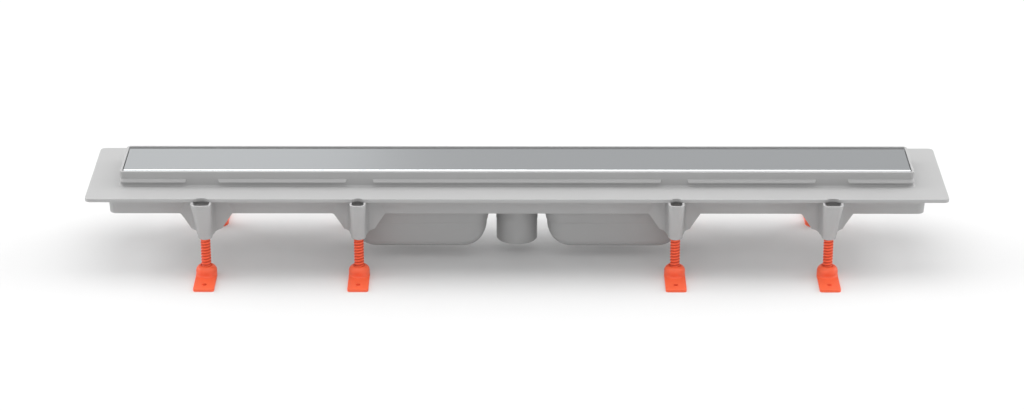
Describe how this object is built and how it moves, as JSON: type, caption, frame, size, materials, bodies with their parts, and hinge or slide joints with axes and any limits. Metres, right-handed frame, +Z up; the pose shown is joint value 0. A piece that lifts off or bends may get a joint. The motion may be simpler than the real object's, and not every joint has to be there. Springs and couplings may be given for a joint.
{
  "type": "channel drain",
  "caption": "Shower channel drain with flanged body, twin trap bowls, bottom outlet, folded cover and height-adjustable screw legs with fixing feet.",
  "frame": {"origin": "on the floor under the middle of the outlet, with the legs part way out", "axes": "+X along the channel, -Y to the front of the picture, +Z up out of the floor"},
  "size_m": [1.0344, 0.2514, 0.1205],
  "materials": {
    "body_plastic": "satin moulded",
    "cover_steel": "fine brushed",
    "leg_plastic": "satin moulded",
    "insert_plastic": "satin moulded",
    "seal_rubber": "matte"
  },
  "bodies": {
    "channel": {"channel_body": "body_plastic", "trap_bowl_left": "body_plastic", "trap_bowl_right": "body_plastic", "trap_hood": "insert_plastic", "hood_seal": "seal_rubber", "hair_sieve_left": "insert_plastic", "hair_sieve_right": "insert_plastic", "cover_plate": "cover_steel"},
    "foot_front_left_outer": {"foot_front_left_outer": "leg_plastic"},
    "spindle_front_left_outer": {"spindle_front_left_outer": "leg_plastic"},
    "foot_front_left_inner": {"foot_front_left_inner": "leg_plastic"},
    "spindle_front_left_inner": {"spindle_front_left_inner": "leg_plastic"},
    "foot_front_right_outer": {"foot_front_right_outer": "leg_plastic"},
    "spindle_front_right_outer": {"spindle_front_right_outer": "leg_plastic"},
    "foot_front_right_inner": {"foot_front_right_inner": "leg_plastic"},
    "spindle_front_right_inner": {"spindle_front_right_inner": "leg_plastic"},
    "foot_back_left_outer": {"foot_back_left_outer": "leg_plastic"},
    "spindle_back_left_outer": {"spindle_back_left_outer": "leg_plastic"},
    "foot_back_left_inner": {"foot_back_left_inner": "leg_plastic"},
    "spindle_back_left_inner": {"spindle_back_left_inner": "leg_plastic"},
    "foot_back_right_outer": {"foot_back_right_outer": "leg_plastic"},
    "spindle_back_right_outer": {"spindle_back_right_outer": "leg_plastic"},
    "foot_back_right_inner": {"foot_back_right_inner": "leg_plastic"},
    "spindle_back_right_inner": {"spindle_back_right_inner": "leg_plastic"}
  },
  "joints": [
    {"name": "height_front_left_outer", "type": "slide", "parent": "channel", "child": "foot_front_left_outer", "axis": [0, 0, -1], "range_m": [-0.023, 0.013]},
    {"name": "turn_front_left_outer", "type": "hinge", "parent": "foot_front_left_outer", "child": "spindle_front_left_outer", "pos_m": [-0.3746, -0.08, 0.0086], "axis": [0, 0, 1], "range_deg": [-1240, 2190]},
    {"name": "height_front_left_inner", "type": "slide", "parent": "channel", "child": "foot_front_left_inner", "axis": [0, 0, -1], "range_m": [-0.023, 0.013]},
    {"name": "turn_front_left_inner", "type": "hinge", "parent": "foot_front_left_inner", "child": "spindle_front_left_inner", "pos_m": [-0.1903, -0.08, 0.0086], "axis": [0, 0, 1], "range_deg": [-1240, 2190]},
    {"name": "height_front_right_outer", "type": "slide", "parent": "channel", "child": "foot_front_right_outer", "axis": [0, 0, -1], "range_m": [-0.023, 0.013]},
    {"name": "turn_front_right_outer", "type": "hinge", "parent": "foot_front_right_outer", "child": "spindle_front_right_outer", "pos_m": [0.3746, -0.08, 0.0086], "axis": [0, 0, 1], "range_deg": [-1240, 2190]},
    {"name": "height_front_right_inner", "type": "slide", "parent": "channel", "child": "foot_front_right_inner", "axis": [0, 0, -1], "range_m": [-0.023, 0.013]},
    {"name": "turn_front_right_inner", "type": "hinge", "parent": "foot_front_right_inner", "child": "spindle_front_right_inner", "pos_m": [0.1903, -0.08, 0.0086], "axis": [0, 0, 1], "range_deg": [-1240, 2190]},
    {"name": "height_back_left_outer", "type": "slide", "parent": "channel", "child": "foot_back_left_outer", "axis": [0, 0, -1], "range_m": [-0.023, 0.013]},
    {"name": "turn_back_left_outer", "type": "hinge", "parent": "foot_back_left_outer", "child": "spindle_back_left_outer", "pos_m": [-0.3746, 0.08, 0.0086], "axis": [0, 0, 1], "range_deg": [-1240, 2190]},
    {"name": "height_back_left_inner", "type": "slide", "parent": "channel", "child": "foot_back_left_inner", "axis": [0, 0, -1], "range_m": [-0.023, 0.013]},
    {"name": "turn_back_left_inner", "type": "hinge", "parent": "foot_back_left_inner", "child": "spindle_back_left_inner", "pos_m": [-0.1903, 0.08, 0.0086], "axis": [0, 0, 1], "range_deg": [-1240, 2190]},
    {"name": "height_back_right_outer", "type": "slide", "parent": "channel", "child": "foot_back_right_outer", "axis": [0, 0, -1], "range_m": [-0.023, 0.013]},
    {"name": "turn_back_right_outer", "type": "hinge", "parent": "foot_back_right_outer", "child": "spindle_back_right_outer", "pos_m": [0.3746, 0.08, 0.0086], "axis": [0, 0, 1], "range_deg": [-1240, 2190]},
    {"name": "height_back_right_inner", "type": "slide", "parent": "channel", "child": "foot_back_right_inner", "axis": [0, 0, -1], "range_m": [-0.023, 0.013]},
    {"name": "turn_back_right_inner", "type": "hinge", "parent": "foot_back_right_inner", "child": "spindle_back_right_inner", "pos_m": [0.1903, 0.08, 0.0086], "axis": [0, 0, 1], "range_deg": [-1240, 2190]}
  ],
  "couplings": [
    {"joint": "turn_front_left_outer", "follows": "height_front_left_outer", "rad_per_m": -1653.5},
    {"joint": "turn_front_left_inner", "follows": "height_front_left_inner", "rad_per_m": -1653.5},
    {"joint": "turn_front_right_outer", "follows": "height_front_right_outer", "rad_per_m": -1653.5},
    {"joint": "turn_front_right_inner", "follows": "height_front_right_inner", "rad_per_m": -1653.5},
    {"joint": "turn_back_left_outer", "follows": "height_back_left_outer", "rad_per_m": -1653.5},
    {"joint": "turn_back_left_inner", "follows": "height_back_left_inner", "rad_per_m": -1653.5},
    {"joint": "turn_back_right_outer", "follows": "height_back_right_outer", "rad_per_m": -1653.5},
    {"joint": "turn_back_right_inner", "follows": "height_back_right_inner", "rad_per_m": -1653.5}
  ]
}
